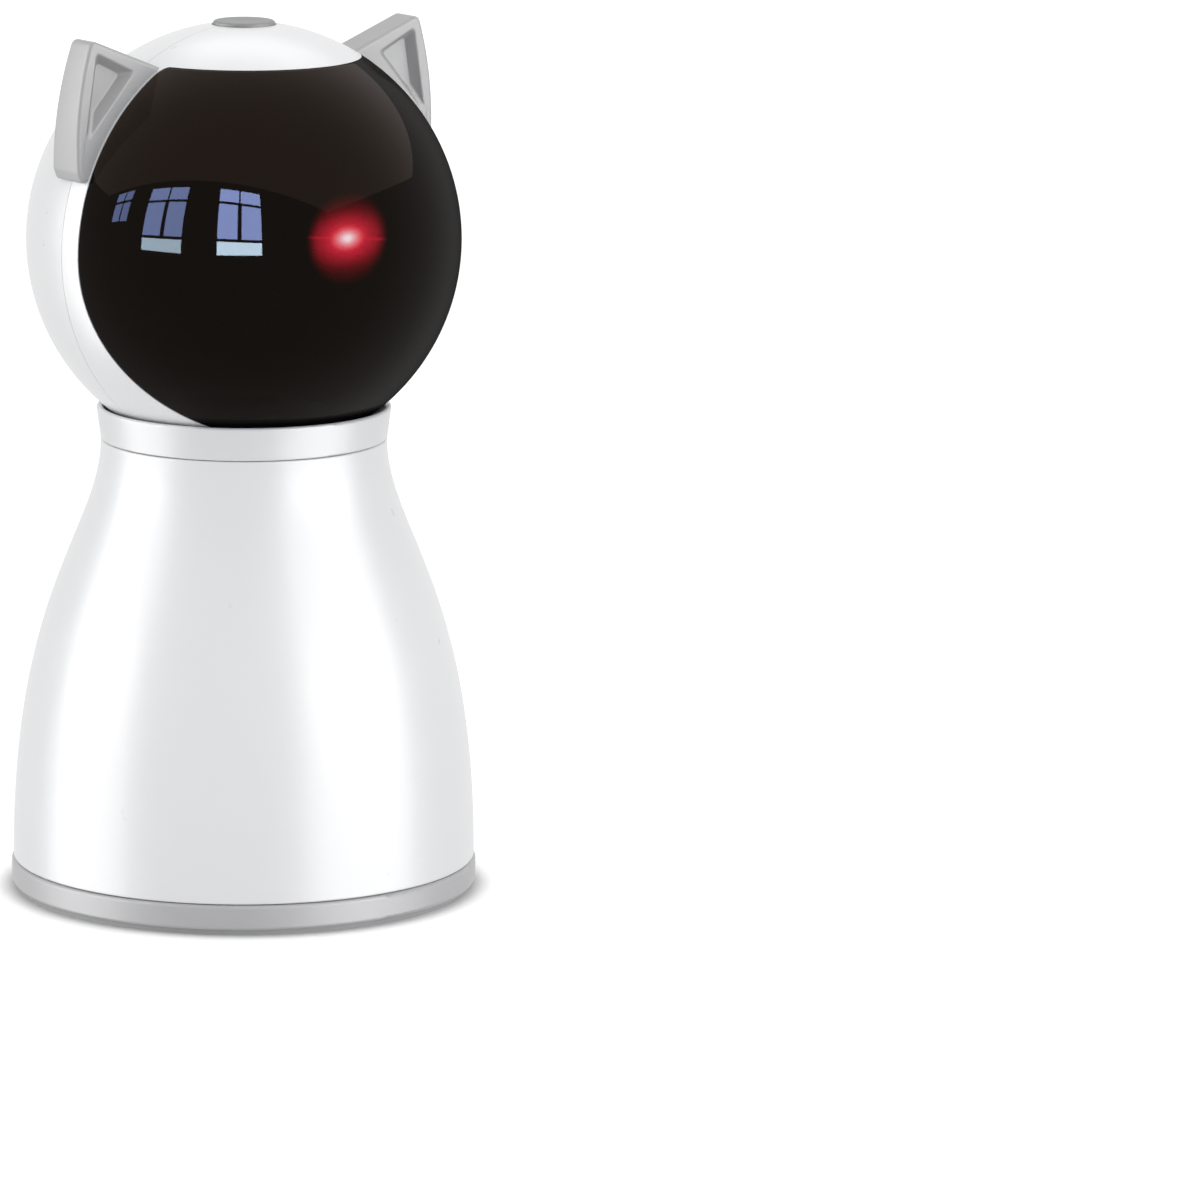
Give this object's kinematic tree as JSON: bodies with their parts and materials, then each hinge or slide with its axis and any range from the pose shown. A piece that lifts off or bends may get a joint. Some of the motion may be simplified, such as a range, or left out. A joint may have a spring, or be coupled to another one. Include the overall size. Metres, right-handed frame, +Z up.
{
  "type": "automatic cat laser toy",
  "caption": "Upright laser toy for cats: a round cat-eared head with a dark visor and top button turns on a bell-shaped base and steers a laser dot inside.",
  "frame": {"origin": "middle of the flat face it stands on", "axes": "+Z up along the axis of the base and the head; the face and visor look along -Y; +X is on the right of someone who looks at the face"},
  "size_m": [0.084, 0.084, 0.1572],
  "materials": {
    "shell_white": "smooth, lightly glossy moulding",
    "collar_white": "satin moulding",
    "ear_grey": "fine satin moulding",
    "button_grey": "satin moulding with a shallow dish",
    "base_grey": "fine satin moulding",
    "foot_rubber": "soft pad with a fine grain",
    "visor_smoke": "polished smoke-tinted moulding",
    "screw_steel": "zinc-plated",
    "spring_steel": "blued spring steel",
    "bush_acetal": "natural, slippery",
    "gear_acetal": "natural, moulded teeth",
    "chassis_grey": "plain moulding",
    "motor_steel": "drawn can",
    "shaft_steel": "ground",
    "board_green": "solder mask",
    "chip_black": "moulded case",
    "plunger_black": "moulded",
    "connector_ivory": "moulded",
    "port_steel": "folded sheet",
    "cell_wrap": "shrunk sleeve",
    "barrel_brass": "turned",
    "lens_red": "clear optical plastic",
    "wire_black": "sleeved bundle"
  },
  "bodies": {
    "base": {"body_shell": "shell_white", "collar_ring": "collar_white", "bottom_cover": "base_grey", "foot_ring": "foot_rubber", "cover_screws": "screw_steel", "collar_screws": "screw_steel", "board_screws": "screw_steel", "strap_screws": "screw_steel", "swivel_bush": "bush_acetal", "battery_cradle": "chassis_grey", "battery_strap": "chassis_grey", "main_board": "board_green", "control_chip": "chip_black", "driver_chip": "chip_black", "board_connector": "connector_ivory", "charging_port": "port_steel", "battery_cell": "cell_wrap", "neck_harness": "wire_black"},
    "head": {"head_chassis": "chassis_grey", "chassis_screws": "screw_steel", "neck_clip": "spring_steel", "spindle_clip": "spring_steel", "pan_motor": "motor_steel", "pan_motor_screws": "screw_steel", "button_switch": "chip_black", "button_board": "board_green", "button_board_screws": "screw_steel", "head_rear_shell": "shell_white", "head_front_shell": "shell_white", "head_screws": "screw_steel", "visor": "visor_smoke", "ear_right": "ear_grey", "ear_left": "ear_grey", "head_harness": "wire_black"},
    "button": {"button_cap": "button_grey", "switch_plunger": "plunger_black"},
    "turret": {"pan_gear": "gear_acetal", "gear_screws": "screw_steel", "turret_yoke": "chassis_grey", "tilt_motor": "motor_steel", "tilt_motor_screws": "screw_steel"},
    "pan_drive": {"pan_pinion": "gear_acetal", "pan_motor_shaft": "shaft_steel"},
    "laser": {"laser_cradle": "chassis_grey", "barrel_grub_screw": "screw_steel", "laser_barrel": "barrel_brass", "laser_lens": "lens_red", "tilt_gear": "gear_acetal"},
    "tilt_drive": {"tilt_pinion": "gear_acetal", "tilt_motor_shaft": "shaft_steel"}
  },
  "joints": [
    {"name": "head_swivel", "type": "hinge", "parent": "base", "child": "head", "pos_m": [0, 0, 0.084], "axis": [0, 0, 1], "range_deg": [-90, 90]},
    {"name": "button_press", "type": "slide", "parent": "head", "child": "button", "axis": [0, 0, 1], "range_m": [-0.0005, 0], "stiffness_N_per_m": 1200, "springref_m": 0.0004},
    {"name": "laser_pan", "type": "hinge", "parent": "head", "child": "turret", "pos_m": [0, 0, 0.1035], "axis": [0, 0, 1], "range_deg": [-50, 50]},
    {"name": "pan_pinion_spin", "type": "hinge", "parent": "head", "child": "pan_drive", "pos_m": [0, 0.0165, 0.1032], "axis": [0, 0, 1], "range_deg": [-187, 187]},
    {"name": "laser_tilt", "type": "hinge", "parent": "turret", "child": "laser", "pos_m": [0, -0.006, 0.122], "axis": [1, 0, 0], "range_deg": [-10, 40]},
    {"name": "tilt_pinion_spin", "type": "hinge", "parent": "turret", "child": "tilt_drive", "pos_m": [0.0135, 0.008, 0.122], "axis": [1, 0, 0], "range_deg": [-121, 31]}
  ],
  "couplings": [
    {"joint": "pan_pinion_spin", "follows": "laser_pan", "ratio": -3.7143},
    {"joint": "tilt_pinion_spin", "follows": "laser_tilt", "ratio": -3}
  ]
}
